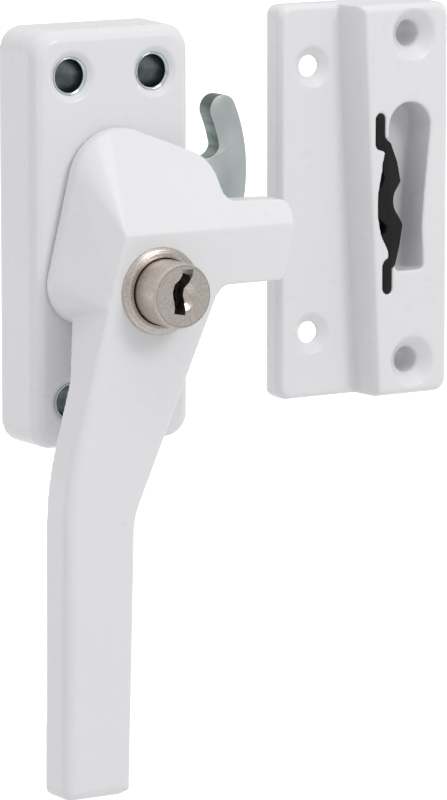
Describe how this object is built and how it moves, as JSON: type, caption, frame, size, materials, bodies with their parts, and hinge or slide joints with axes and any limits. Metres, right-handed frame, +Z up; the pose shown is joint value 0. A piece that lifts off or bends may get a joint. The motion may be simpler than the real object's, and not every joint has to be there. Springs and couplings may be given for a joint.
{
  "type": "lockable casement window fastener",
  "caption": "Lever fastener for a casement window: base, swinging handle with security hook and push lock, and a separate strike plate.",
  "frame": {"origin": "centre of the base's flat mounting face, which lies against the sash", "axes": "+X towards the strike, +Y into the sash so the front faces -Y, +Z up along the stile"},
  "size_m": [0.0973, 0.0384, 0.1453],
  "materials": {
    "white_base": "smooth gloss white powder coat over zinc casting",
    "white_handle": "smooth gloss white powder coat over zinc casting",
    "white_strike": "smooth gloss white powder coat over zinc casting",
    "zinc_plate": "blue-green passivated zinc plating on steel",
    "zinc_hook": "blue-green passivated zinc plating on blanked steel",
    "steel": "plain turned steel",
    "spring_steel": "spring steel",
    "acetal": "natural acetal",
    "satin_nickel": "satin nickel plate",
    "satin_nickel_barrel": "satin nickel plate",
    "satin_nickel_core": "satin nickel plate",
    "brass": "stamped brass",
    "black_plastic": "black moulded plastic"
  },
  "bodies": {
    "base": {"base_casting": "white_base", "back_plate": "zinc_plate", "screw_sleeves": "zinc_plate", "spindle_bush": "acetal"},
    "handle": {"handle_casting": "white_handle", "spindle": "steel", "wave_washer": "spring_steel", "security_hook": "zinc_hook", "hook_washer": "zinc_plate", "spindle_screw": "steel", "lock_ring": "satin_nickel", "stop_pin": "steel", "return_spring": "spring_steel"},
    "barrel": {"lock_barrel": "satin_nickel_barrel", "locking_bolt": "steel"},
    "core": {"key_core": "satin_nickel_core", "core_clip": "spring_steel", "wafers": "brass", "wafer_springs": "spring_steel"},
    "strike": {"strike_casting": "white_strike", "strike_backing": "zinc_plate", "strike_spring": "black_plastic"}
  },
  "joints": [
    {"name": "handle_turn", "type": "hinge", "parent": "base", "child": "handle", "pos_m": [0, -0.0133, 0.0105], "axis": [0, 1, 0], "range_deg": [0, 90]},
    {"name": "lock_push", "type": "slide", "parent": "handle", "child": "barrel", "axis": [0, 1, 0], "range_m": [0, 0.005], "stiffness_N_per_m": 400, "springref_m": -0.004, "deforming": ["return_spring"]},
    {"name": "key_turn", "type": "hinge", "parent": "barrel", "child": "core", "pos_m": [0, -0.0384, -0.0082], "axis": [0, 1, 0], "range_deg": [0, 90]},
    {"name": "sash_opening", "type": "slide", "parent": "base", "child": "strike", "axis": [0, -1, 0], "range_m": [0, 0.06]}
  ]
}
